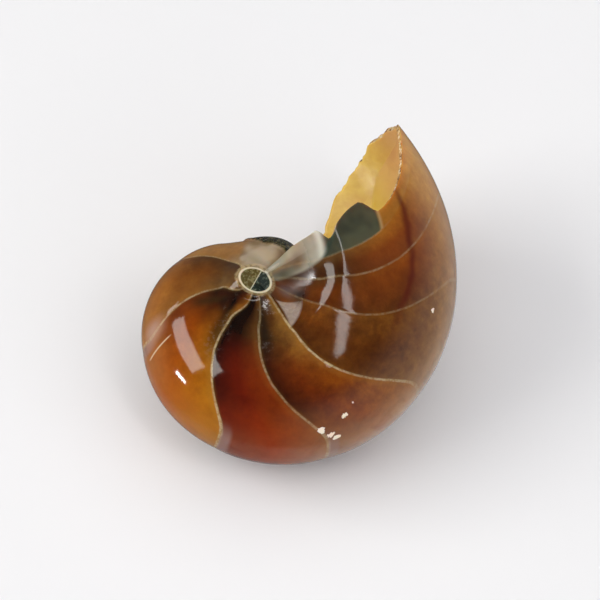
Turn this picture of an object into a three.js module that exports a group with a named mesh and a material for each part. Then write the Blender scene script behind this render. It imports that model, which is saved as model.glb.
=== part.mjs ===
// Nautilus fossil: a polished shell whose chambers have turned to stone, lying on its lower flank.
// The shell wall still stands past the last septum on the lower flank and over the venter, where it
// shelters the hollow that is left of the living chamber. Millimetres, +Z up.
//
// The coil is worked out in its own frame: the coil axis is Z, and "growth" is the angle around it,
// negative towards the older shell and zero near the broken aperture. "flank" runs around a whorl's
// section: 0 at the venter (the outer keel line), +90 at the widest place of the upper flank, +180
// at the upper umbilicus, and the same with a minus sign on the lower side.

import * as THREE from "three";
import { mergeVertices } from "three/addons/utils/BufferGeometryUtils.js";

// Driving dimensions of the coil
const END_RADIUS = 33.0; // coil axis to venter where growth is zero
const GROWTH_RATE = 0.23; // natural logarithm of the radius gained per radian
const HALF_WIDTH = 16.5; // half the whorl's width where growth is zero
const WIDTH_POWER = 0.85; // how the width follows the radius on older shell
const CREST = 0.38; // widest place of the flank, as a share of the radius
const HUB_HEIGHT = 9.2; // umbilicus above and below the coil's middle plane
const HUB_SHIFT = 1.7; // the umbilicus sits this far off the coil axis
const HUB_SHIFT_ANGLE = 46; // degrees, direction of that offset
const HUB_REACH = 5.5; // how far from the axis the offset fades
const HUB_FLOOR_OLD = 148; // flank angle where older whorls come level with the umbilicus
const HUB_FLOOR_NEW = 180; // and where the newest does, which stands as a wall over it
const KNOB_REACH = 2.3; // the umbilicus is filled level this far out
const KNOB_SLOPE = 1.15; // and then falls away this steeply
const KNOB_BLEND = 1.2; // height over which that filling runs into the whorls
const CALLUS = 2.6; // how far the callus stands out from the old whorl under the aperture

// Last septum, living chamber and broken rim: growth angles in degrees
const SEPTUM_VENTER = 5.2; // edge of the filled shell at the venter
const SEPTUM_FLANK = -14; // and on both flanks
const SEPTUM_LOBE = 8; // step forward of the infill that stands out at the widest place
const SEPTUM_DIP = -8; // step back behind that
const SEPTUM_WALL = 11; // step forward of the umbilical wall
const SEPTUM_UMBILICUS = 5; // and its further reach towards the umbilicus
const SEPTUM_SAG = 13; // how far the septum's middle is dished back
const OLD_WHORL_START = -376; // where the older whorl comes out from under the septum
const WALL_REACH = 11; // how far the standing wall reaches past growth zero
const WALL_UPPER_END = 42; // flank angle where the wall ends on the upper side
const WALL_LOWER_END = -125; // and on the lower side
const WALL_THICKNESS = 0.9;
const EDGE_BEVEL = 0.4; // the bevel left where no wall stands
const CHIP_DEPTH = 1.1; // degrees of growth bitten out between the rim's points
const CHIP_SPACING = 13; // degrees of flank from one chip to the next

// How it lies: the upward direction seen from the coil frame, and the turn about it
const LEAN = 17.4; // degrees between the coil axis and straight up
const LEAN_DIRECTION = 55.3; // degrees around the coil axis
const HEADING = 55; // degrees about the vertical
const REST_FLAT = 0.3; // depth of the flat that the lower flank rests on

// Mesh density
const OUTER_ROWS = 54;
const WALL_ROWS = 3;
const SEPTUM_ROWS = 5;
const COLUMNS = 40;

const rad = THREE.MathUtils.degToRad;
const { lerp, smoothstep } = THREE.MathUtils;

// Section of the whorl: distance from the coil axis and height, inset by the wall thickness if asked.
function section(growth, flank, inset = 0) {
  const radius = END_RADIUS * Math.exp(GROWTH_RATE * rad(growth)) - inset;
  const scale = radius / END_RADIUS;
  const halfWidth = HALF_WIDTH * Math.pow(scale, WIDTH_POWER) - inset;
  const side = Math.sign(flank);
  const turn = Math.abs(flank);
  if (turn <= 90) {
    const out = CREST + (1 - CREST) * Math.cos(rad(turn));
    return { distance: radius * out, height: side * halfWidth * Math.sin(rad(turn)) };
  }
  const inward = (turn - 90) / 90;
  const newest = THREE.MathUtils.clamp((growth + 45) / 33, 0, 1);
  const floor = lerp(HUB_FLOOR_OLD, HUB_FLOOR_NEW, newest);
  const height = lerp(halfWidth, HUB_HEIGHT, smoothstep(turn, 90, floor));
  return { distance: radius * CREST * (1 - inward), height: side * height };
}

// Growth angle of the filled shell's edge, which follows the last septum.
function septumEdge(flank) {
  const turn = Math.abs(flank);
  const alongFlank = lerp(SEPTUM_VENTER, SEPTUM_FLANK, smoothstep(turn, 24, 76));
  const lobe = SEPTUM_LOBE * smoothstep(turn, 71, 79);
  const dip = SEPTUM_DIP * smoothstep(turn, 83, 102);
  const wall = SEPTUM_WALL * smoothstep(turn, 102, 112) + SEPTUM_UMBILICUS * smoothstep(turn, 112, 140);
  return alongFlank + lobe + dip + wall;
}

// Growth angle of the standing wall's broken rim.
function wallRim(flank) {
  const fromUpper = smoothstep(-flank, -WALL_UPPER_END, 35);
  const fromLower = smoothstep(flank, WALL_LOWER_END, -45);
  const chip = CHIP_DEPTH * Math.abs(Math.sin((Math.PI * flank) / CHIP_SPACING));
  const reach = lerp(septumEdge(flank), WALL_REACH, Math.min(fromUpper, fromLower));
  return Math.max(septumEdge(flank) + EDGE_BEVEL, reach - chip * Math.min(fromUpper, fromLower));
}

// How far the callus stands out from a place of the old whorl.
function callusSwell(growth, flank) {
  const spread = smoothstep(flank, -70, 0) * smoothstep(-flank, -176, -118);
  return CALLUS * smoothstep(-growth, 296, 352) * spread;
}

// The greater of two heights, with an eased change where they are close.
function softMost(first, second, reach) {
  const near = Math.max(reach - Math.abs(first - second), 0) / reach;
  return Math.max(first, second) + (reach * Math.pow(near, 3)) / 6;
}

// A point of the coil, with the umbilicus drawn a little off the axis and filled to a level knob.
function coilPoint(growth, distance, height) {
  const pull = HUB_SHIFT * Math.exp(-Math.pow(distance / HUB_REACH, 2));
  const hubX = HUB_SHIFT * Math.cos(rad(HUB_SHIFT_ANGLE));
  const hubY = HUB_SHIFT * Math.sin(rad(HUB_SHIFT_ANGLE));
  const x = distance * Math.cos(rad(growth)) + pull * Math.cos(rad(HUB_SHIFT_ANGLE));
  const y = distance * Math.sin(rad(growth)) + pull * Math.sin(rad(HUB_SHIFT_ANGLE));
  const hubDistance = Math.hypot(x - hubX, y - hubY);
  const knob = HUB_HEIGHT - KNOB_SLOPE * Math.max(hubDistance - KNOB_REACH, 0);
  const filled = softMost(Math.abs(height), knob, KNOB_BLEND);
  const atUmbilicus = 1 - smoothstep(hubDistance, 4.5, 7.5);
  return new THREE.Vector3(x, y, Math.sign(height) * lerp(Math.abs(height), filled, atUmbilicus));
}

// Rows of the closed surface: the outer face, back along the wall's inner face, down the septum.
function surfaceRow(row, flank) {
  const edge = septumEdge(flank);
  const rim = wallRim(flank);
  if (row <= OUTER_ROWS) {
    const growth = lerp(OLD_WHORL_START, rim, row / OUTER_ROWS);
    const outer = section(growth, flank, -callusSwell(growth, flank));
    return coilPoint(growth, outer.distance, outer.height);
  }
  const inset = lerp(EDGE_BEVEL, WALL_THICKNESS, smoothstep(rim - edge, 0, 4));
  if (row <= OUTER_ROWS + WALL_ROWS) {
    const back = (row - OUTER_ROWS - 1) / (WALL_ROWS - 1);
    const growth = lerp(rim, edge, back);
    const inner = section(growth, flank, inset);
    return coilPoint(growth, inner.distance, inner.height);
  }
  const down = (row - OUTER_ROWS - WALL_ROWS) / SEPTUM_ROWS;
  const sag = SEPTUM_SAG * 4 * down * (1 - down) * Math.pow(Math.cos(rad(flank / 2)), 2);
  const growth = lerp(edge, OLD_WHORL_START + 360, down) - sag;
  const outer = section(edge, flank, inset);
  const older = section(OLD_WHORL_START, flank, -callusSwell(OLD_WHORL_START, flank));
  return coilPoint(growth, lerp(outer.distance, older.distance, down), lerp(outer.height, older.height, down));
}

// The closed surface: its rows run around in a loop, and its columns end in the two umbilici.
function shellGeometry() {
  const rows = OUTER_ROWS + WALL_ROWS + SEPTUM_ROWS;
  const positions = [];
  for (let row = 0; row < rows; row += 1) {
    for (let column = 1; column < COLUMNS; column += 1) {
      positions.push(...surfaceRow(row, lerp(-180, 180, column / COLUMNS)).toArray());
    }
  }
  positions.push(...coilPoint(0, 0, -HUB_HEIGHT).toArray(), ...coilPoint(0, 0, HUB_HEIGHT).toArray());

  const inRow = COLUMNS - 1;
  const lowerHub = rows * inRow;
  const upperHub = lowerHub + 1;
  const index = [];
  for (let row = 0; row < rows; row += 1) {
    const here = row * inRow;
    const next = ((row + 1) % rows) * inRow;
    index.push(lowerHub, next, here);
    for (let column = 0; column < inRow - 1; column += 1) {
      index.push(here + column, next + column, next + column + 1);
      index.push(here + column, next + column + 1, here + column + 1);
    }
    index.push(upperHub, here + inRow - 1, next + inRow - 1);
  }
  const geometry = new THREE.BufferGeometry();
  geometry.setAttribute("position", new THREE.Float32BufferAttribute(positions, 3));
  geometry.setIndex(index);
  return mergeVertices(geometry, 1e-4);
}

// Lays the coil on its lower flank, with a small flat worn where it touches, centred over the origin.
function layDown(geometry) {
  const sideways = Math.sin(rad(LEAN));
  const up = new THREE.Vector3(
    sideways * Math.cos(rad(LEAN_DIRECTION)),
    sideways * Math.sin(rad(LEAN_DIRECTION)),
    Math.cos(rad(LEAN))
  );
  geometry.applyQuaternion(new THREE.Quaternion().setFromUnitVectors(up, new THREE.Vector3(0, 0, 1)));
  geometry.rotateZ(rad(HEADING));
  geometry.computeBoundingBox();
  const lowest = geometry.boundingBox.min.z + REST_FLAT;
  const position = geometry.getAttribute("position");
  for (let i = 0; i < position.count; i += 1) {
    position.setZ(i, Math.max(position.getZ(i), lowest));
  }
  geometry.computeBoundingBox();
  const box = geometry.boundingBox;
  geometry.translate(-(box.min.x + box.max.x) / 2, -(box.min.y + box.max.y) / 2, -box.min.z);
  geometry.computeVertexNormals();
  return geometry;
}

const amberCalcite = new THREE.MeshStandardMaterial({ color: 0x8a3f14, roughness: 0.12, metalness: 0 });

const nautilus = new THREE.Mesh(layDown(shellGeometry()), amberCalcite);
nautilus.name = "nautilus_fossil";

const model = new THREE.Group();
model.add(nautilus);

export default model;
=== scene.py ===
"""Polished nautilus fossil, lying on its lower flank: the finished surface, stone and lighting.

The shell is one closed surface whose rows follow the coil: over the outside from the old whorl to the
broken rim, across the rim's fracture, back along the inside of the standing wall, and down the last
septum to the old whorl again. Its columns run from the lower umbilicus over the venter to the upper one.
"growth" is the angle in degrees around the coil, and "flank" the angle in degrees around a whorl's
section: 0 at the venter, 90 at the widest place, 180 at the umbilicus, negative on the lower side.
Shapes are worked out in millimetres and scaled to metres at the end.
"""
import math

import bpy
from mathutils import Matrix, Vector


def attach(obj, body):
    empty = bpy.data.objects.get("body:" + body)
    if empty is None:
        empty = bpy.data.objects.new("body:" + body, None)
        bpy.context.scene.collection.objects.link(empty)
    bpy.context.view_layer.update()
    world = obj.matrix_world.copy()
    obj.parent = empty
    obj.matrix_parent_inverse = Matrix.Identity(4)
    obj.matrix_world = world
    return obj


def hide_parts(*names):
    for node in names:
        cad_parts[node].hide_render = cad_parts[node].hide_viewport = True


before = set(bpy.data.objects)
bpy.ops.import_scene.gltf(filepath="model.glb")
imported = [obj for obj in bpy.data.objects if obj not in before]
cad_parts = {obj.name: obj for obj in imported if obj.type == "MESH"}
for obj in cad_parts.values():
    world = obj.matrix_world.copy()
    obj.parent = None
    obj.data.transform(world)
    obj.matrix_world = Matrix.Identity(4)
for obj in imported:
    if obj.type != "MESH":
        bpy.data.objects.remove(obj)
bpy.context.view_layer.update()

MM = 0.001
DEGREE = math.radians(1)
RADIAN = math.degrees(1)

# The coil as the frame has it, and then how rough its rim and its surface are
SIZES = {
    "End Radius": 33.0,
    "Growth Rate": 0.23,
    "Half Width": 16.5,
    "Width Power": 0.85,
    "Crest": 0.38,
    "Hub Height": 9.2,
    "Hub Shift": 1.7,
    "Hub Shift Angle": 46.0,
    "Hub Reach": 5.5,
    "Old Whorl Start": -376.0,
    "Wall Reach": 11.0,
    "Callus": 2.6,
    "Knob Reach": 2.3,
    "Knob Slope": 1.15,
    "Knob Blend": 1.2,
    "Wall Thickness": 0.9,
    "Edge Bevel": 0.4,
    "Septum Sag": 13.0,
    "Chip Depth": 2.6,
    "Pillow": 0.12,
    "Lumps": 0.05,
    "Suture Groove": 0.012,
}

# How the coil lies: degrees between its axis and straight up, the way it leans, and the turn about the
# vertical, with the place its centre comes to
LEAN, LEAN_DIRECTION, HEADING = 17.4, 55.3, 55.0
COIL_CENTRE = Vector((-6.973, -6.001, 14.004))

# Septa by their growth angle at the widest place of the flank, oldest first
SEPTA = (-395.0, -340.0, -284.0, -227.5, -173.5, -134.0, -99.2, -64.5, -41.0, -25.0, -5.0)

# Rows and columns of the surface, and the shares of its rows where the fracture starts, where the inside
# of the wall starts and where the septum starts
ROWS, COLUMNS = 450, 206
RIM_ROW, FRACTURE_ROW, EDGE_ROW = 0.86, 0.878, 0.92
JUST_PAST = 0.001  # keeps the row of the rim itself on the outside

# Chambers between those septa
CHAMBERS = len(SEPTA) - 1

# Flank angle where the whorls come level with the umbilicus, on the older shell and on the newest, and the
# growth angles between which it changes
HUB_FLOOR_OLD, HUB_FLOOR_NEW = 148.0, 180.0
HUB_FLOOR_CHANGE = (-45.0, -12.0)

# Growth angle of the last septum's edge at the venter and on the flanks, and its further steps: the flank
# angles that each one spans and the growth that it adds
SEPTUM_VENTER, SEPTUM_FLANK = 5.2, -14.0
SEPTUM_STEPS = (
    (71.0, 79.0, 8.0),  # forward where the infill stands out
    (83.0, 102.0, -8.0),  # back behind that
    (102.0, 112.0, 11.0),  # forward again at the umbilical wall
    (112.0, 140.0, 5.0),  # and a little more towards the umbilicus
)

# Flank angles over which the standing wall rises to its full reach, from either side
WALL_RISES = ((42.0, -35.0), (-125.0, -45.0))

# Millimetres along the flank for each radian of flank angle, as a share of the whorl's radius
FLANK_ARC = 0.52

# Relief in millimetres: the splinter on the old whorl, and how far from a septum its groove reaches
SHARD_THICKNESS = 0.3
GROOVE_REACH = 0.28

MERGE_REACH = 2e-6  # metres


class Field:
    """A number in a node tree that can be added, multiplied and compared like a plain one."""

    def __init__(self, tree, socket):
        self.tree, self.socket = tree, socket

    def math(self, operation, *others):
        return math_node(self.tree, operation, self, *others)

    def __add__(self, other):
        return self.math("ADD", other)

    def __sub__(self, other):
        return self.math("SUBTRACT", other)

    def __mul__(self, other):
        return self.math("MULTIPLY", other)

    def __truediv__(self, other):
        return self.math("DIVIDE", other)

    def __pow__(self, other):
        return self.math("POWER", other)

    def __radd__(self, other):
        return math_node(self.tree, "ADD", other, self)

    def __rsub__(self, other):
        return math_node(self.tree, "SUBTRACT", other, self)

    def __rmul__(self, other):
        return math_node(self.tree, "MULTIPLY", other, self)

    def __rtruediv__(self, other):
        return math_node(self.tree, "DIVIDE", other, self)

    def __neg__(self):
        return self.math("MULTIPLY", -1.0)


def feed(tree, socket, value):
    """Gives a node's input a field, a socket or a plain value."""
    if isinstance(value, Field):
        tree.links.new(value.socket, socket)
    elif isinstance(value, bpy.types.NodeSocket):
        tree.links.new(value, socket)
    else:
        socket.default_value = value


def math_node(tree, operation, *values):
    node = tree.nodes.new("ShaderNodeMath")
    node.operation = operation
    for socket, value in zip(node.inputs, values):
        feed(tree, socket, value)
    return Field(tree, node.outputs[0])


def sine(field):
    return field.math("SINE")


def cosine(field):
    return field.math("COSINE")


def size_of(field):
    return field.math("ABSOLUTE")


def least(first, second):
    return first.math("MINIMUM", second)


def most(first, second):
    return first.math("MAXIMUM", second)


def soft_most(first, second, reach):
    return first.math("SMOOTH_MAX", second, reach)


def over(field, limit):
    return field.math("GREATER_THAN", limit)


def ramp(field, low, high, start=0.0, end=1.0, kind="SMOOTHSTEP"):
    """Start below low, end above high, and an even or eased change between."""
    node = field.tree.nodes.new("ShaderNodeMapRange")
    node.interpolation_type = kind
    for socket, value in zip(node.inputs, (field, low, high, start, end)):
        feed(field.tree, socket, value)
    return Field(field.tree, node.outputs[0])


def climb(field, low, high, start=0.0, end=1.0):
    return ramp(field, low, high, start, end, "LINEAR")


def blend(first, second, share):
    """First where share is 0 and second where it is 1."""
    return first + (second - first) * share


def hump(field, centre, reach):
    """1 at the centre, easing to 0 at a distance of reach."""
    return ramp(size_of(field - centre), reach, 0.0)


def plateau(field, start, full, fading, gone):
    """0 up to start and past gone, 1 between full and fading, and eased in between."""
    return ramp(field, start, full) * ramp(field, gone, fading)


def vector(tree, x, y, z):
    node = tree.nodes.new("ShaderNodeCombineXYZ")
    for socket, value in zip(node.inputs, (x, y, z)):
        feed(tree, socket, value)
    return node.outputs[0]


def noise(tree, place, scale, detail=2.0, roughness=0.5, warp=0.0):
    """Noise from 0 to 1 over a place."""
    node = tree.nodes.new("ShaderNodeTexNoise")
    feed(tree, node.inputs["Vector"], place)
    node.inputs["Scale"].default_value = scale
    node.inputs["Detail"].default_value = detail
    node.inputs["Roughness"].default_value = roughness
    node.inputs["Distortion"].default_value = warp
    return Field(tree, node.outputs[0])


# ---------------------------------------------------------------- the coiled surface


def suture_sweep(growth, turn):
    """Degrees by which a septum's line runs ahead of its place on the flank, and its rate of change."""
    widest, near_venter = 90.0, 18.0
    reach = climb(growth, -230.0, -90.0, 21.0, 28.0)
    along = climb(turn, widest, near_venter)
    eased = along * along * (3.0 - along * 2.0)
    slope = reach * along * (1.0 - along) * (6.0 / (widest - near_venter))
    hub_reach = climb(growth, -200.0, -120.0, 45.0, 12.0)
    return reach * eased + hub_reach * ramp(turn, 104.0, 166.0), slope


def nearest_septum(ahead):
    """The chamber's number with its share passed, and the degrees to the nearest septum, signed."""
    chamber = sum(climb(ahead, older, newer) for older, newer in zip(SEPTA, SEPTA[1:]))
    offsets = [ahead - septum for septum in SEPTA[1:-1]]
    nearest = offsets[0]
    for off in offsets[1:]:
        closer = over(size_of(nearest), size_of(off))
        nearest = blend(nearest, off, closer)
    return chamber, nearest


def septum_edge(turn):
    """Growth angle of the filled shell's broken edge."""
    edge = ramp(turn, 24.0, 76.0, SEPTUM_VENTER, SEPTUM_FLANK)
    for start, end, step in SEPTUM_STEPS:
        edge = edge + ramp(turn, start, end, 0.0, step)
    return edge


def wall_rim(tree, sizes, flank, edge):
    """Growth angle of the standing wall's broken rim, bitten into points."""
    from_upper, from_lower = (ramp(flank, *rise) for rise in WALL_RISES)
    standing = least(from_upper, from_lower)
    bites = noise(tree, vector(tree, flank * 0.085, 3.7, 0.0), 1.0, 3.0, 0.7)
    crumbs = noise(tree, vector(tree, flank * 0.5, 9.1, 0.0), 1.0, 2.0, 0.6)
    chip = (bites - 0.5) * sizes["Chip Depth"] * 2.0 * standing + (crumbs - 0.5) * 0.8
    reach = blend(edge, sizes["Wall Reach"], standing) + chip
    return most(reach, edge + sizes["Edge Bevel"] + (crumbs - 0.5) * 0.5)


def coil_radius(sizes, growth):
    """Distance from the coil axis to the venter, in millimetres."""
    return sizes["End Radius"] * (growth * DEGREE * sizes["Growth Rate"]).math("EXPONENT")


def whorl_section(sizes, growth, flank, inset=0.0):
    """Distance from the coil axis and height of a place on the whorl, in millimetres."""
    radius = coil_radius(sizes, growth) - inset
    half = sizes["Half Width"] * (radius / sizes["End Radius"]) ** sizes["Width Power"] - inset
    turn = size_of(flank)
    inward = climb(turn, 90.0, 180.0)
    floor = climb(growth, *HUB_FLOOR_CHANGE, HUB_FLOOR_OLD, HUB_FLOOR_NEW)
    eased = ramp(turn, 90.0, floor)
    outward = most(cosine(turn * DEGREE), 0.0)
    distance = radius * (sizes["Crest"] * (1.0 - inward) + (1.0 - sizes["Crest"]) * outward)
    height = blend(half * sine(least(turn, 90.0) * DEGREE), sizes["Hub Height"], eased)
    return distance, height * flank.math("SIGN")


def callus_swell(sizes, growth, flank):
    """How far the callus stands out from the old whorl under the aperture."""
    spread = ramp(flank, -70.0, 0.0) * ramp(flank, 176.0, 118.0)
    return sizes["Callus"] * ramp(growth, -296.0, -352.0) * spread


def from_umbilicus(sizes, x, y):
    """How far a place of the coil lies from the middle of the umbilicus, in x and in y."""
    aside = sizes["Hub Shift Angle"] * DEGREE
    return x - sizes["Hub Shift"] * cosine(aside), y - sizes["Hub Shift"] * sine(aside)


def coil_place(sizes, growth, distance, height):
    """A point of the coil, with the umbilicus drawn a little off the axis and filled to a level knob."""
    reach = distance / sizes["Hub Reach"]
    pull = sizes["Hub Shift"] * (-(reach * reach)).math("EXPONENT")
    angle = growth * DEGREE
    aside = sizes["Hub Shift Angle"] * DEGREE
    x = distance * cosine(angle) + pull * cosine(aside)
    y = distance * sine(angle) + pull * sine(aside)
    hub_x, hub_y = from_umbilicus(sizes, x, y)
    hub_off = (hub_x * hub_x + hub_y * hub_y) ** 0.5
    knob = sizes["Hub Height"] - most(hub_off - sizes["Knob Reach"], 0.0) * sizes["Knob Slope"]
    filled = soft_most(size_of(height), knob, sizes["Knob Blend"])
    at_umbilicus = ramp(hub_off, 7.5, 4.5)
    return x, y, height.math("SIGN") * blend(size_of(height), filled, at_umbilicus)


def store(tree, geometry, name, value):
    node = tree.nodes.new("GeometryNodeStoreNamedAttribute")
    node.data_type = "FLOAT"
    node.domain = "POINT"
    tree.links.new(geometry, node.inputs["Geometry"])
    node.inputs["Name"].default_value = name
    feed(tree, node.inputs["Value"], value)
    return node.outputs[0]


def given_sizes(tree):
    """Adds the sizes to the tree as its inputs, and gives them by name."""
    for name, value in SIZES.items():
        socket = tree.interface.new_socket(name, in_out="INPUT", socket_type="NodeSocketFloat")
        socket.default_value = value
    given = tree.nodes.new("NodeGroupInput")
    return {name: Field(tree, given.outputs[name]) for name in SIZES}


def open_grid(tree):
    """The flat grid to be coiled, with each point's share of the rows and its flank angle."""
    grid = tree.nodes.new("GeometryNodeMeshGrid")
    grid.inputs["Vertices X"].default_value = ROWS + 1
    grid.inputs["Vertices Y"].default_value = COLUMNS + 1
    spot = tree.nodes.new("ShaderNodeSeparateXYZ")
    tree.links.new(tree.nodes.new("GeometryNodeInputPosition").outputs[0], spot.inputs[0])
    return grid.outputs["Mesh"], Field(tree, spot.outputs[0]) + 0.5, Field(tree, spot.outputs[1]) * 360.0


def outside_growth(sizes, start, rim, outside):
    """Growth angle over the outside, with rows that widen as the shell does."""
    swelling = ((rim - start) * DEGREE * sizes["Growth Rate"]).math("EXPONENT") - 1.0
    grown = (outside * swelling + 1.0).math("LOGARITHM", math.e) / sizes["Growth Rate"]
    return start + grown * RADIAN


def septum_distance(sizes, growth, turn, distance):
    """The chamber a place is in, and its distance in millimetres from the nearest septum, signed."""
    sweep, slope = suture_sweep(growth, turn)
    chamber, off = nearest_septum(growth - sweep)
    along_growth = RADIAN / distance
    along_flank = slope * (RADIAN / FLANK_ARC) / coil_radius(sizes, growth)
    return chamber, off / (along_growth * along_growth + along_flank * along_flank) ** 0.5


def outside_relief(tree, sizes, place, growth, flank, outside, chamber, suture_mm):
    """How far the outside stands out: swollen chambers, lumps, grooves, the callus and the splinter."""
    share = chamber.math("FRACT")
    belly = 1.0 - (share * 2.0 - 1.0) ** 2.0
    pillow = sizes["Pillow"] * belly * climb(chamber, 4.9, 6.2, 1.0, 0.06)
    lumps = (noise(tree, place, 0.16, 1.0, 0.4) - 0.5) * sizes["Lumps"] * 2.0
    groove = sizes["Suture Groove"] * hump(suture_mm, 0.0, GROOVE_REACH)
    settle = ramp(outside, 0.0, 0.03) * ramp(size_of(flank), 176.0, 150.0)
    relief = (pillow + lumps - groove) * settle + callus_swell(sizes, growth, flank)
    return relief + shard_mask(growth, flank) * SHARD_THICKNESS


def coil_tree(materials):
    """The node tree that grows the whole shell from its sizes."""
    tree = bpy.data.node_groups.new("coiled shell", "GeometryNodeTree")
    tree.interface.new_socket("Shell", in_out="OUTPUT", socket_type="NodeSocketGeometry")
    sizes = given_sizes(tree)
    geometry, row, flank = open_grid(tree)
    turn = size_of(flank)

    # How far along each part of the closed surface a row is, from 0 to 1
    outside = climb(row, 0.0, RIM_ROW)
    across = climb(row, RIM_ROW, FRACTURE_ROW)
    back = climb(row, FRACTURE_ROW, EDGE_ROW)
    down = climb(row, EDGE_ROW, 1.0)

    edge = septum_edge(turn)
    rim = wall_rim(tree, sizes, flank, edge)
    start = sizes["Old Whorl Start"]
    sag = sizes["Septum Sag"] * 4.0 * down * (1.0 - down) * cosine(flank * DEGREE * 0.5) ** 2.0
    shell_growth = blend(outside_growth(sizes, start, rim, outside), edge, back)
    growth = blend(shell_growth, start + 360.0, down) - sag

    # The shell before any relief, which places the septum lines and the noise
    plain_distance, plain_height = whorl_section(sizes, shell_growth, flank)
    place = vector(tree, *coil_place(sizes, shell_growth, plain_distance, plain_height))
    chamber, suture_mm = septum_distance(sizes, shell_growth, turn, plain_distance)
    relief = outside_relief(tree, sizes, place, shell_growth, flank, outside, chamber, suture_mm)

    thickness = ramp(rim - edge, 0.0, 4.0, sizes["Edge Bevel"], sizes["Wall Thickness"])
    inset = blend(-relief, thickness, across)
    fracture = noise(tree, place, 2.2, 3.0, 0.7)
    crumble = (fracture - 0.5) * 1.1 * across * (1.0 - back) * hump(across, 0.5, 0.5)
    distance, height = whorl_section(sizes, shell_growth + crumble, flank, inset)
    old_distance, old_height = whorl_section(sizes, start, flank, -callus_swell(sizes, start, flank))
    distance = blend(distance, old_distance, down)
    height = blend(height, old_height, down)
    x, y, z = coil_place(sizes, growth + crumble, distance, height)
    hub_x, hub_y = from_umbilicus(sizes, x, y)

    for name, value in (
        ("chamber", chamber),
        ("suture_mm", suture_mm),
        ("growth", shell_growth),
        ("flank", flank),
        ("hub_x", hub_x),
        ("hub_y", hub_y),
    ):
        geometry = store(tree, geometry, name, value)
    zone = over(row, RIM_ROW + JUST_PAST) + over(row, FRACTURE_ROW) + over(row, EDGE_ROW)
    geometry = paint(tree, geometry, materials, zone)
    geometry = lay_down(tree, move(tree, geometry, x, y, z))
    close_up(tree, geometry)
    return tree


def move(tree, geometry, x, y, z):
    """Moves each point to a place."""
    node = tree.nodes.new("GeometryNodeSetPosition")
    tree.links.new(geometry, node.inputs["Geometry"])
    tree.links.new(vector(tree, x, y, z), node.inputs["Position"])
    return node.outputs[0]


def close_up(tree, geometry):
    """Joins the surface's edges where they meet, smooths its shading and ends the tree."""
    merged = tree.nodes.new("GeometryNodeMergeByDistance")
    tree.links.new(geometry, merged.inputs["Geometry"])
    merged.inputs["Distance"].default_value = MERGE_REACH
    smooth = tree.nodes.new("GeometryNodeSetShadeSmooth")
    tree.links.new(merged.outputs[0], smooth.inputs["Geometry"])
    real = tree.nodes.new("GeometryNodeRealizeInstances")
    tree.links.new(smooth.outputs[0], real.inputs[0])
    result = tree.nodes.new("NodeGroupOutput")
    tree.links.new(real.outputs[0], result.inputs[0])


def paint(tree, geometry, materials, zone):
    """Gives each zone of rows its material: outside, fracture, inside of the wall, septum."""
    for number, material in enumerate(materials):
        node = tree.nodes.new("GeometryNodeSetMaterial")
        tree.links.new(geometry, node.inputs["Geometry"])
        node.inputs["Material"].default_value = material
        tree.links.new(over(zone, number - 0.6).socket, node.inputs["Selection"])
        geometry = node.outputs[0]
    return geometry


def lay_down(tree, geometry):
    """Turns the coil onto its lower flank, puts it in its place and wears the flat it rests on."""
    lean, way, heading = (math.radians(angle) for angle in (LEAN, LEAN_DIRECTION, HEADING))
    upward = Vector((math.sin(lean) * math.cos(way), math.sin(lean) * math.sin(way), math.cos(lean)))
    turn = Matrix.Rotation(heading, 3, "Z") @ upward.rotation_difference(Vector((0, 0, 1))).to_matrix()
    node = tree.nodes.new("GeometryNodeTransform")
    tree.links.new(geometry, node.inputs["Geometry"])
    node.inputs["Rotation"].default_value = turn.to_euler()
    node.inputs["Translation"].default_value = COIL_CENTRE * MM
    node.inputs["Scale"].default_value = (MM, MM, MM)
    place = tree.nodes.new("ShaderNodeSeparateXYZ")
    tree.links.new(tree.nodes.new("GeometryNodeInputPosition").outputs[0], place.inputs[0])
    x, y, z = (Field(tree, socket) for socket in place.outputs)
    return move(tree, node.outputs[0], x, y, most(z, 0.0))


def grow(name, tree):
    """Grows the shell once from its tree and keeps the result as a plain mesh."""
    piece = bpy.data.objects.new(name, bpy.data.meshes.new(name))
    bpy.context.scene.collection.objects.link(piece)
    modifier = piece.modifiers.new("coil", "NODES")
    modifier.node_group = tree
    for item in tree.interface.items_tree:
        if item.in_out == "INPUT":
            modifier[item.identifier] = SIZES[item.name]
    graph = bpy.context.evaluated_depsgraph_get()
    shown = piece.evaluated_get(graph)
    grown = bpy.data.meshes.new_from_object(shown, preserve_all_data_layers=True, depsgraph=graph)
    piece.modifiers.clear()
    piece.data = grown
    return piece


# ---------------------------------------------------------------- the stone


def paint_colour(red, green, blue):
    """A colour given as it looks, from 0 to 255, as the shader wants it."""
    linear = []
    for part in (red, green, blue):
        share = part / 255.0
        linear.append(share / 12.92 if share <= 0.04045 else ((share + 0.055) / 1.055) ** 2.4)
    return (*linear, 1.0)


def attribute(tree, name):
    node = tree.nodes.new("ShaderNodeAttribute")
    node.attribute_name = name
    return Field(tree, node.outputs["Fac"])


def mix_colour(tree, first, second, share, way="MIX"):
    """Blends two colours, each given as a socket or as it looks, from 0 to 255."""
    node = tree.nodes.new("ShaderNodeMix")
    node.data_type = "RGBA"
    node.blend_type = way
    feed(tree, node.inputs[0], share)
    for socket, colour in ((node.inputs[6], first), (node.inputs[7], second)):
        feed(tree, socket, paint_colour(*colour) if isinstance(colour, tuple) else colour)
    return node.outputs[2]


def lay_over(tree, colour, *layers):
    """Lays tones over a colour one after the other, each given with its share."""
    for tone, share in layers:
        colour = mix_colour(tree, colour, tone, share)
    return colour


def two_tone(tree, first, second, field, low, high):
    """First where the field is below low and second where it is above high."""
    return mix_colour(tree, first, second, ramp(field, low, high))


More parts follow.
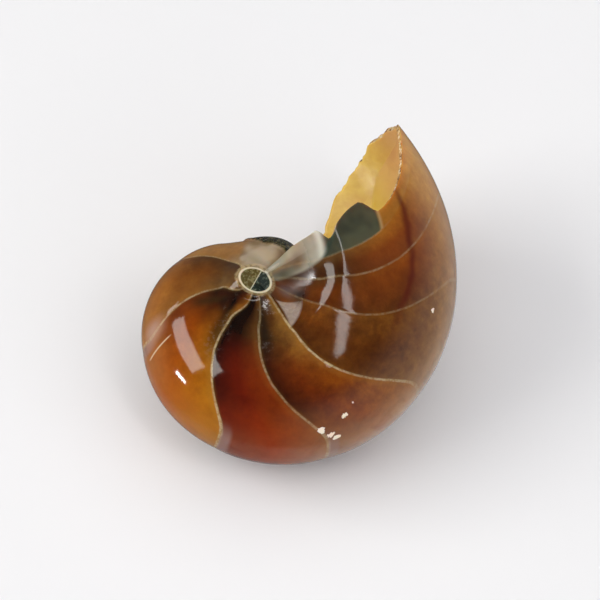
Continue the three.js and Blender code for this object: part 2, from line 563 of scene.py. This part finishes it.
def colour_ramp(tree, field, stops):
    """Colours along a number, given as place and colour pairs from 0 to 1."""
    node = tree.nodes.new("ShaderNodeValToRGB")
    feed(tree, node.inputs[0], field)
    elements = node.color_ramp.elements
    while len(elements) > 1:
        elements.remove(elements[-1])
    for number, (place, colour) in enumerate(stops):
        element = elements[0] if number == 0 else elements.new(place)
        element.position = place
        element.color = paint_colour(*colour)
    return node.outputs[0]


# Colours of each chamber's stone from the older septum to the newer, oldest chamber first
INNER_FLANK = (
    ((168, 150, 122), (160, 142, 112), (150, 132, 100)),
    ((60, 46, 36), (86, 58, 30), (96, 70, 40)),
    ((34, 20, 10), (60, 24, 6), (118, 66, 14)),
    ((6, 4, 3), (26, 10, 4), (84, 48, 18)),
    ((22, 16, 10), (84, 50, 16), (122, 84, 34)),
    ((58, 28, 8), (92, 46, 10), (98, 54, 16)),
    ((72, 30, 6), (92, 44, 8), (60, 28, 6)),
    ((50, 24, 6), (64, 34, 12), (84, 56, 28)),
    ((46, 56, 46), (52, 62, 52), (56, 66, 56)),
)
MIDDLE_FLANK = (
    ((150, 110, 70), (150, 108, 64), (140, 100, 56)),
    ((70, 46, 26), (108, 62, 20), (122, 78, 32)),
    ((92, 40, 14), (132, 62, 6), (150, 94, 16)),
    ((40, 8, 4), (88, 20, 4), (116, 44, 6)),
    ((44, 12, 3), (98, 38, 5), (124, 64, 10)),
    ((84, 44, 10), (84, 42, 8), (106, 62, 18)),
    ((88, 45, 14), (104, 50, 14), (126, 62, 16)),
    ((110, 55, 22), (124, 62, 20), (152, 92, 28)),
    ((152, 98, 34), (168, 114, 42), (172, 120, 50)),
)
OUTER_FLANK = (
    ((150, 112, 70), (156, 114, 66), (150, 106, 60)),
    ((118, 76, 36), (140, 86, 30), (142, 94, 44)),
    ((140, 88, 44), (150, 76, 8), (154, 98, 16)),
    ((92, 24, 8), (128, 42, 5), (126, 66, 14)),
    ((110, 58, 20), (126, 62, 14), (128, 76, 22)),
    ((112, 70, 28), (122, 80, 34), (132, 90, 42)),
    ((138, 92, 44), (154, 104, 44), (168, 116, 46)),
    ((178, 122, 48), (194, 138, 52), (206, 152, 58)),
    ((208, 158, 66), (212, 164, 70), (214, 166, 74)),
)


def chamber_stops(chambers):
    """Places the colours of each chamber, with a sharp change at every septum."""
    stops = []
    for number, (older, middle, newer) in enumerate(chambers):
        for place, colour in ((0.012, older), (0.5, middle), (0.988, newer)):
            stops.append(((number + 1 + place) / CHAMBERS, colour))
    return stops


def new_material(name):
    """A new material with its node tree, its shader and the place on the piece."""
    material = bpy.data.materials.new(name)
    material.use_nodes = True
    tree = material.node_tree
    place = tree.nodes.new("ShaderNodeTexCoord").outputs["Object"]
    return material, tree, tree.nodes["Principled BSDF"], place


def let_light_in(shader, weight, reach, scale):
    """How much light travels below the surface, and how far its red, green and blue parts reach."""
    shader.inputs["Subsurface Weight"].default_value = weight
    shader.inputs["Subsurface Radius"].default_value = reach
    shader.inputs["Subsurface Scale"].default_value = scale


def bump(tree, shader, height, strength, distance):
    node = tree.nodes.new("ShaderNodeBump")
    node.inputs["Strength"].default_value = strength
    node.inputs["Distance"].default_value = distance
    feed(tree, node.inputs["Height"], height)
    feed(tree, shader.inputs["Normal"], node.outputs[0])


def stone_material():
    """Translucent amber calcite, with a colour for each chamber and cream lines at the septa."""
    material, tree, shader, place = new_material("amber_stone")
    chamber = attribute(tree, "chamber")
    suture = attribute(tree, "suture_mm")
    growth = attribute(tree, "growth")
    flank = attribute(tree, "flank")
    turn = size_of(flank)
    drift = noise(tree, place, 160.0, 3.0, 0.6)
    grain = noise(tree, place, 1500.0, 3.0, 0.7)
    mottle = noise(tree, place, 520.0, 5.0, 0.6, 0.2)
    veil = noise(tree, place, 210.0, 2.0, 0.5)

    colour = chamber_colour(tree, chamber, suture, turn, drift)
    colour = mottled_stone(tree, colour, chamber, turn, mottle, grain)
    colour = dark_patches_and_painted_reflections(tree, colour, growth, turn, mottle, grain)
    colour = milk_and_thread(tree, colour, place, growth, flank, drift)
    colour = callus_and_shard(tree, colour, growth, flank, drift, veil, grain)
    colour = umbilical_wall(tree, colour, chamber, growth, turn, veil)

    line, halo = septum_lines(tree, place, chamber, suture, turn)
    cream = two_tone(tree, (192, 174, 134), (156, 130, 86), grain, 0.42, 0.62)
    colour = lay_over(tree, colour, ((150, 104, 44), halo), (cream, line))
    colour = lilac_marks(tree, colour, chamber, suture, growth, turn)
    colour = mineral_specks(tree, colour, growth, flank, place)
    colour = umbilicus(tree, colour, flank)
    feed(tree, shader.inputs["Base Color"], colour)

    dull = ramp(turn, 114.0, 130.0) * ramp(growth, -104.0, -76.0) * 0.25
    feed(tree, shader.inputs["Roughness"], climb(grain, 0.3, 0.8, 0.05, 0.12) + line * 0.12 + dull)
    let_light_in(shader, 0.6, (1.0, 0.42, 0.16), 0.0022)
    bump(tree, shader, grain, 0.04, 0.00015)
    return material


def chamber_colour(tree, chamber, suture, turn, drift):
    """Each chamber's own colours, which drift a little except at its septa."""
    along = (chamber + (drift - 0.5) * 0.18 * (1.0 - hump(suture, 0.0, 1.2))) / CHAMBERS
    inner, middle, outer = (
        colour_ramp(tree, along, chamber_stops(chambers))
        for chambers in (INNER_FLANK, MIDDLE_FLANK, OUTER_FLANK)
    )
    wander = turn + (drift - 0.5) * 22.0
    colour = mix_colour(tree, outer, middle, ramp(wander, 28.0, 58.0))
    return mix_colour(tree, colour, inner, ramp(wander, 66.0, 98.0))


def mottled_stone(tree, colour, chamber, turn, mottle, grain):
    """Cloudy darker and lighter patches, strongest in the middle chambers."""
    busy = ramp(chamber, 4.7, 5.6, 0.5, 1.0) * ramp(chamber, 6.8, 7.8, 1.0, 0.5)
    busy = busy * ramp(turn, 20.0, 50.0, 0.6, 1.0)
    depth = climb(mottle, 0.32, 0.68, 0.62, 1.42) * climb(grain, 0.3, 0.7, 0.8, 1.22)
    mottled = vector(tree, depth, depth * climb(mottle, 0.3, 0.7, 0.88, 1.12), depth)
    return mix_colour(tree, colour, mottled, busy * 0.7, "MULTIPLY")


def dark_patches_and_painted_reflections(tree, colour, growth, turn, mottle, grain):
    """Dark stone close to the umbilicus with pale crystals in it, and below the umbilicus two painted
    reflections: a grey patch with white glints and a milky triangle.
    """
    olive = hump(growth - (turn - 77.0) * 0.38, -216.0, 10.0) * plateau(turn, 64.0, 80.0, 112.0, 124.0)
    black = hump(growth + (turn - 94.0) * 0.25, -178.0, 15.0) * plateau(turn, 56.0, 84.0, 128.0, 140.0)
    brown = hump(growth, -128.0, 12.0) * plateau(turn, 76.0, 94.0, 132.0, 146.0)
    inmost = hump(growth, -196.0, 20.0) * plateau(turn, 90.0, 106.0, 140.0, 156.0)
    crystals = ramp(grain + (mottle - 0.5) * 0.8, 0.52, 0.72)
    # A grey patch with white glints below the umbilicus: painted reflections of the lamps
    painted_glint_cluster = hump(growth, -109.0, 15.0) * hump(turn, 146.0, 17.0)
    # A milky triangle in front of the umbilicus, bounded by these three sides: a painted reflection
    older_side = growth + 100.8 - (turn - 104.5) * 0.43
    lower_side = turn - 104.5 - (growth + 100.8) * 0.505
    upper_side = 146.5 - turn - (growth + 82.8) * 1.17
    painted_reflection_triangle = ramp(least(least(older_side, lower_side), upper_side), -1.5, 2.5)
    return lay_over(
        tree,
        colour,
        ((50, 34, 14), olive * 0.8),
        ((9, 6, 5), black * 0.9),
        ((30, 22, 14), brown * 0.75),
        ((28, 14, 8), inmost * 0.75),
        ((120, 114, 110), crystals * most(black, brown) * 0.3),
        # Painted reflections: the grey patch, its white glints and the milky triangle
        ((84, 76, 74), painted_glint_cluster * 0.7),
        ((214, 210, 208), painted_glint_cluster * ramp(grain, 0.5, 0.62)),
        ((164, 148, 136), painted_reflection_triangle * climb(grain, 0.3, 0.7, 0.6, 0.9)),
    )


def milk_and_thread(tree, colour, place, growth, flank, drift):
    """Milky stone towards the venter of the newer chambers, and a dark red thread in the newest."""
    cloud = noise(tree, place, 260.0, 4.0, 0.65, 0.6)
    milky = ramp(size_of(flank), 40.0, 8.0) * ramp(growth, -130.0, -70.0, 0.1, 0.55)
    thread = hump(flank + (drift - 0.5) * 8.0, 58.5, 3.2) * plateau(growth, -66.0, -44.0, -16.0, -4.0)
    return lay_over(
        tree,
        colour,
        ((188, 150, 108), milky * ramp(cloud, 0.3, 0.6, 0.5, 1.0)),
        ((84, 20, 4), thread * 0.8),
    )


def shard_mask(growth, flank):
    """A dark splinter of the older wall that lies on top of the old whorl."""
    along = ramp(growth + (flank - 30.0) * 0.4, -317.0, -319.0)
    return along * ramp(flank, 17.0, 19.0) * ramp(flank + (growth + 340.0) * 0.5, 60.0, 57.0)


def callus_and_shard(tree, colour, growth, flank, drift, veil, grain):
    """The pale callus on the old whorl beside the umbilicus, and the splinter at its edge."""
    edge = growth - (size_of(flank) - 70.0) * 0.5 + (drift - 0.5) * 16.0
    callus = ramp(edge, -296.0, -304.0) * ramp(flank, -40.0, 0.0)
    callus_colour = two_tone(tree, (170, 154, 130), (128, 106, 78), veil, 0.4, 0.6)
    shard_colour = two_tone(tree, (38, 36, 22), (92, 88, 62), grain, 0.45, 0.66)
    return lay_over(tree, colour, (callus_colour, callus * 0.92), (shard_colour, shard_mask(growth, flank)))


def umbilical_wall(tree, colour, chamber, growth, turn, veil):
    """The wall of the newest whorl over the umbilicus, grey-white partly as the stone's colour and partly
    as a painted reflection of the room on its steep face, with a painted highlight along its shoulder and
    painted shade deeper in, and the dark infill above it.
    """
    newest = ramp(chamber, 8.98, 9.02)
    wander = turn + (veil - 0.5) * 8.0
    # The steep wall over the umbilicus: its grey-white is partly the stone's colour and partly a painted
    # reflection
    wall = ramp(chamber + (wander - 118.0) * 0.03, 8.7, 9.0) * ramp(wander, 104.0, 112.0)
    brown = hump(growth, -17.0, 16.0) * hump(turn, 136.0, 13.0)
    olive = hump(growth, -25.0, 18.0) * hump(turn, 150.0, 13.0)
    # Darker deeper into the umbilicus: painted shade
    shade = ramp(turn, 128.0, 146.0) * ramp(growth, -4.0, -12.0)
    tone = lay_over(
        tree,
        two_tone(tree, (158, 154, 140), (128, 126, 110), veil, 0.4, 0.6),
        # A pale band along the wall's shoulder: a painted highlight
        ((188, 186, 174), hump(turn, 111.0, 7.0)),
        ((96, 70, 38), brown * 0.95),
        ((58, 64, 50), olive * 0.95),
        ((96, 92, 74), shade * 0.75),
    )
    lilac = hump(growth, -54.0, 18.0) * hump(turn, 143.0, 14.0)
    red_wedge = hump(growth - (turn - 132.0) * 0.6, -55.0, 20.0) * hump(turn, 129.0, 12.0)
    infill = newest * ramp(turn, 71.5, 73.5) * ramp(turn + (growth + 6.4) * 1.1, 90.0, 87.0)
    rim_line = newest * hump(turn, 72.0, 1.6) * ramp(growth, -34.0, -20.0)
    return lay_over(
        tree,
        colour,
        # The wall's grey-white, partly a painted reflection, with its painted highlight and painted shade
        (tone, wall),
        ((92, 78, 76), lilac * 0.8),
        ((22, 6, 4), red_wedge * 0.95),
        ((176, 150, 104), rim_line * 0.6),
        (two_tone(tree, (58, 60, 47), (78, 78, 60), veil, 0.42, 0.6), infill),
    )


# How strongly each septum shows, by its number from the oldest
SEPTUM_STRENGTHS = {2: 0.42, 3: 0.64, 4: 0.66, 5: 0.4, 6: 0.76, 7: 0.2, 8: 0.26, 9: 0.18}


def line_strength(chamber, turn):
    """How strongly the septum nearest to a place shows."""
    fading = {6: (16.0, 50.0, 0.25, 1.0), 9: (64.0, 74.0)}
    total = 0.0
    for number, strength in SEPTUM_STRENGTHS.items():
        own = ramp(size_of(chamber - float(number)), 0.42, 0.34) * strength
        if number in fading:
            own = own * ramp(turn, *fading[number])
        total = total + own
    return total


def septum_lines(tree, place, chamber, suture, turn):
    """The septum lines and the amber halo behind them, each as strong as it shows."""
    fades = ramp(noise(tree, place, 220.0, 2.0, 0.5), 0.3, 0.55, 0.55, 1.0)
    strength = line_strength(chamber, turn) * fades * ramp(turn, 150.0, 118.0, 0.55, 1.0)
    ragged = (noise(tree, place, 520.0, 3.0, 0.6) - 0.5) * 0.2
    broad = ramp(turn, 50.0, 16.0, 0.0, 0.12)
    line = ramp(size_of(suture + ragged) - broad, 0.22, 0.04) * strength
    halo = ramp(size_of(suture + ragged * 2.0 + 0.25), 0.9, 0.1, 0.0, 0.3) * strength
    return line, halo


def lilac_marks(tree, colour, chamber, suture, growth, turn):
    """Lilac-grey wedges where the older septa reach the venter, and a short second line beside one."""
    wedge = ramp(turn, 34.0, 14.0) * plateau(suture, -0.1, 0.2, 1.0, 1.7)
    wedge = wedge * climb(chamber, 5.4, 4.9) * ramp(chamber.math("FRACT"), 0.46, 0.38)
    patch = hump(growth + (turn - 30.0) * 0.1, -209.0, 10.0) * hump(turn, 28.0, 22.0)
    second_line = hump(growth + climb(turn, 16.0, 48.0, -0.6, 3.0), -197.0, 0.75)
    second_line = second_line * plateau(turn, 12.0, 18.0, 44.0, 50.0)
    return lay_over(
        tree,
        colour,
        ((140, 112, 104), wedge * 0.7),
        ((176, 148, 140), patch * 0.55),
        ((206, 184, 150), second_line * 0.9),
    )


# Growth angle, flank angle and radius in millimetres of each pale grain
SPECKS = (
    (-109.0, 32.0, 0.5),
    (-105.6, 26.0, 0.42),
    (-104.0, 23.0, 0.42),
    (-99.2, 37.5, 0.34),
    (-94.0, 43.5, 0.12),
    (-49.2, 39.5, 0.14),
)


def mineral_specks(tree, colour, growth, flank, place):
    """Small pale grains of mineral on the upper flank."""
    growth_mm, flank_mm, soft_edge = 0.36, 0.24, 0.12
    wobble = (noise(tree, place, 1500.0, 3.0, 0.6) - 0.5) * 1.3
    for at_growth, at_flank, reach in SPECKS:
        aside = (growth - at_growth) * growth_mm
        upward = (flank - at_flank) * flank_mm
        off = (aside * aside + upward * upward) ** 0.5
        colour = mix_colour(tree, colour, (238, 224, 204), ramp(off + wobble, reach + soft_edge, reach))
    return colour


def umbilicus(tree, colour, flank):
    """The cream ring at the umbilicus, with olive and dark glassy stone inside it."""
    across, upward = attribute(tree, "hub_x"), attribute(tree, "hub_y")
    tilt = math.radians(-69.0)
    long_way = across * math.cos(tilt) + upward * math.sin(tilt)
    short_way = upward * math.cos(tilt) - across * math.sin(tilt)
    off = (long_way * long_way * (1 / 1.24**2) + short_way * short_way * (1 / 0.94**2)) ** 0.5
    near = over(size_of(flank), 60.0)
    split = long_way - short_way * 0.1 - 0.1
    crumbs = noise(tree, tree.nodes.new("ShaderNodeTexCoord").outputs["Object"], 2400.0, 3.0, 0.7)
    olive = two_tone(tree, (84, 72, 40), (128, 120, 82), crumbs, 0.45, 0.65)
    glassy = two_tone(tree, (30, 38, 32), (96, 106, 92), crumbs, 0.5, 0.7)
    inside = two_tone(tree, olive, glassy, split, -0.05, 0.05)
    inside = mix_colour(tree, inside, (200, 194, 168), hump(split, 0.0, 0.1))
    band = two_tone(tree, (164, 144, 106), (112, 92, 60), crumbs, 0.45, 0.62)
    return lay_over(
        tree,
        colour,
        (band, ramp(off, 2.3, 2.05) * near * 0.7),
        (inside, ramp(off, 1.62, 1.54) * near),
        ((206, 198, 172), ramp(size_of(off - 1.7), 0.17, 0.05) * near),
    )


def wall_material():
    """Inside of the standing shell wall: honey yellow, browner on the upper side as painted shade, thin
    enough to glow.
    """
    material, tree, shader, place = new_material("honey_wall")
    cloud = noise(tree, place, 240.0, 4.0, 0.6, 0.4)
    fine = noise(tree, place, 1400.0, 3.0, 0.7)
    flank = attribute(tree, "flank")
    colour = lay_over(
        tree,
        two_tone(tree, (202, 172, 72), (188, 150, 52), cloud, 0.4, 0.65),
        # Browner on the upper side, where the inside of the wall is in shade: painted shade
        ((196, 150, 92), ramp(flank, -34.0, 6.0, 0.0, 0.9)),
        ((190, 140, 60), ramp(fine, 0.55, 0.8, 0.0, 0.4)),
    )
    feed(tree, shader.inputs["Base Color"], colour)
    shader.inputs["Roughness"].default_value = 0.32
    let_light_in(shader, 0.5, (1.0, 0.8, 0.4), 0.0015)
    bump(tree, shader, cloud + fine * 0.4, 0.25, 0.0003)
    return material


def fracture_material():
    """Broken edge of the shell: pale and brown crystal grains with a rough surface."""
    material, tree, shader, place = new_material("broken_edge")
    grains = tree.nodes.new("ShaderNodeTexVoronoi")
    feed(tree, grains.inputs["Vector"], place)
    grains.inputs["Scale"].default_value = 3400.0
    grain = Field(tree, grains.outputs["Color"])
    tone = noise(tree, place, 1300.0, 3.0, 0.7)
    colour = two_tone(tree, (206, 166, 108), (120, 74, 40), tone, 0.42, 0.62)
    colour = mix_colour(tree, colour, (232, 216, 184), ramp(grain, 0.66, 0.8, 0.0, 0.85))
    feed(tree, shader.inputs["Base Color"], colour)
    shader.inputs["Roughness"].default_value = 0.25
    let_light_in(shader, 0.5, (1.0, 0.6, 0.3), 0.001)
    bump(tree, shader, grain + tone, 0.6, 0.0003)
    return material


def septum_material():
    """Dished face of the last septum: honey stone, with dark infill high on the upper side."""
    material, tree, shader, place = new_material("septum_face")
    cloud = noise(tree, place, 260.0, 4.0, 0.6, 0.5)
    flank = attribute(tree, "flank")
    colour = lay_over(
        tree,
        two_tone(tree, (196, 150, 90), (184, 136, 76), cloud, 0.35, 0.65),
        ((192, 160, 62), ramp(flank, -6.0, -44.0)),
        ((66, 66, 52), ramp(flank + (cloud - 0.5) * 20.0, 62.0, 76.0)),
        ((150, 138, 114), ramp(flank, 106.0, 122.0)),
    )
    feed(tree, shader.inputs["Base Color"], umbilicus(tree, colour, flank))
    feed(tree, shader.inputs["Roughness"], climb(cloud, 0.3, 0.7, 0.35, 0.5))
    let_light_in(shader, 0.5, (1.0, 0.6, 0.3), 0.002)
    bump(tree, shader, cloud, 0.12, 0.0003)
    return material


# ---------------------------------------------------------------- floor, light and camera

VIEW_HEIGHT = 53.0  # degrees above the horizon
VIEW_ROLL = -7.92  # degrees about the line of sight
VIEW_ANGLE = 11.36  # degrees from edge to edge
VIEW_DISTANCE = 396.0  # millimetres
VIEW_AIM = Vector((-0.24, -3.53, 15.87))
VIEW_NEAREST, VIEW_FARTHEST = 0.02, 5.0  # metres

# The floor, in metres: level this far out, then sweeping up along an arc, with this many sides
FLOOR_RADIUS = 1.0
SWEEP_RADIUS = 0.6
SWEEP_STEPS, SWEEP_STEP = 10, 8  # the second in degrees
FLOOR_SIDES = 96

LAMP_AIM = Vector((0, 0, 0.015))  # about half the fossil's height, in metres


def add_camera():
    data = bpy.data.cameras.new("camera")
    data.angle = math.radians(VIEW_ANGLE)
    data.clip_start, data.clip_end = VIEW_NEAREST, VIEW_FARTHEST
    camera = bpy.data.objects.new("camera", data)
    height = math.radians(VIEW_HEIGHT)
    away = Vector((0.0, -math.cos(height), math.sin(height)))
    camera.location = (VIEW_AIM + away * VIEW_DISTANCE) * MM
    aim = away.to_track_quat("Z", "Y").to_matrix()
    camera.rotation_euler = (aim @ Matrix.Rotation(math.radians(-VIEW_ROLL), 3, "Z")).to_euler()
    bpy.context.scene.collection.objects.link(camera)
    bpy.context.scene.camera = camera


def floor_mesh():
    """Rings of faces around the middle, level at first and then climbing along the sweep."""
    profile = [(FLOOR_RADIUS / 2, 0.0), (FLOOR_RADIUS, 0.0)]
    for step in range(1, SWEEP_STEPS + 1):
        angle = math.radians(SWEEP_STEP * step)
        radius = FLOOR_RADIUS + SWEEP_RADIUS * math.sin(angle)
        profile.append((radius, SWEEP_RADIUS * (1.0 - math.cos(angle))))
    corners = [(0.0, 0.0, 0.0)]
    for radius, height in profile:
        for side in range(FLOOR_SIDES):
            angle = math.tau * side / FLOOR_SIDES
            corners.append((radius * math.cos(angle), radius * math.sin(angle), height))
    faces = [(0, 1 + side, 1 + (side + 1) % FLOOR_SIDES) for side in range(FLOOR_SIDES)]
    for ring in range(len(profile) - 1):
        inner, outer = 1 + ring * FLOOR_SIDES, 1 + (ring + 1) * FLOOR_SIDES
        for side in range(FLOOR_SIDES):
            after = (side + 1) % FLOOR_SIDES
            faces.append((inner + side, outer + side, outer + after, inner + after))
    mesh = bpy.data.meshes.new("floor")
    mesh.from_pydata(corners, [], faces)
    mesh.shade_smooth()
    return mesh


def add_floor():
    """A pale round floor whose edge sweeps up into a low backdrop, and which the polish doesn't mirror."""
    floor = bpy.data.objects.new("floor", floor_mesh())
    bpy.context.scene.collection.objects.link(floor)
    material, tree, shader, place = new_material("pale_floor")
    tone = noise(tree, place, 9.0, 2.0, 0.5)
    feed(tree, shader.inputs["Base Color"], mix_colour(tree, (232, 232, 235), (236, 236, 239), tone))
    shader.inputs["Roughness"].default_value = 0.7
    floor.data.materials.append(material)
    floor.visible_glossy = False


def add_lamp(name, shape, place, toward, sizes, power):
    """A flat lamp at a place, whose back is turned toward a direction."""
    data = bpy.data.lights.new(name, "AREA")
    data.shape = shape
    data.size, data.size_y = sizes
    data.energy = power
    lamp = bpy.data.objects.new(name, data)
    lamp.location = place
    lamp.rotation_euler = toward.to_track_quat("Z", "Y").to_euler()
    bpy.context.scene.collection.objects.link(lamp)
    return lamp


def add_window(name, direction, distance, sizes, power, tint=(1.0, 1.0, 1.0), shape="RECTANGLE"):
    """A lamp in a direction from the fossil and facing it, which the polish mirrors as a window."""
    away = Vector(direction).normalized()
    lamp = add_lamp(name, shape, away * distance + LAMP_AIM, away, sizes, power)
    lamp.data.color = tint


def add_soft_box(name, place, width, power):
    """A wide round lamp that fills the shadows without mirroring in the polish."""
    lamp = add_lamp(name, "DISK", Vector(place), Vector(place), (width, width), power)
    lamp.visible_glossy = False


def add_room():
    """The room's own glow: brightest low on the right, and from straight below."""
    world = bpy.data.worlds.new("studio")
    world.use_nodes = True
    tree = world.node_tree
    background = tree.nodes["Background"]
    background.inputs[0].default_value = (0.97, 0.98, 1.0, 1.0)
    direction = tree.nodes.new("ShaderNodeSeparateXYZ")
    feed(tree, direction.inputs[0], tree.nodes.new("ShaderNodeTexCoord").outputs["Generated"])
    sideways, upward = Field(tree, direction.outputs[0]), Field(tree, direction.outputs[2])
    ceiling_glow = 0.06
    horizon_glow = ramp(sideways, 0.05, 0.75, 0.09, 0.6)
    below_glow = ramp(sideways, 0.0, 0.35, 0.25, 0.6)
    horizon = ramp(upward, -0.05, 0.55, horizon_glow, ceiling_glow)
    below = ramp(upward, -0.6, -0.8, 0.0, below_glow)
    feed(tree, background.inputs[1], most(horizon, below))
    bpy.context.scene.world = world


def add_light():
    """The room, two soft boxes above, two windows and a small lamp close to the floor."""
    add_room()
    add_soft_box("overhead", (0.0, 0.0, 2.2), 5.0, 54.0)
    add_soft_box("front_fill", (1.5, -1.2, 1.1), 2.4, 16.0)
    add_window("side_window", (-0.78, -0.19, 0.59), 2.4, (2.1, 0.95), 33.0, (1.0, 0.98, 0.92))
    add_window("ceiling_strip", (0.28, -0.35, 0.89), 2.4, (0.27, 1.55), 5.3, (1.0, 0.98, 0.95), "ELLIPSE")
    add_window("low_lamp", (-0.86, -0.52, 0.06), 1.2, (0.22, 0.08), 2.6)
    bpy.context.scene.view_settings.view_transform = "Standard"


def make_fossil():
    materials = (stone_material(), fracture_material(), wall_material(), septum_material())
    fossil = grow("nautilus_shell", coil_tree(materials))
    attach(fossil, "root")
    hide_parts("nautilus_fossil")


add_camera()
add_floor()
add_light()
make_fossil()
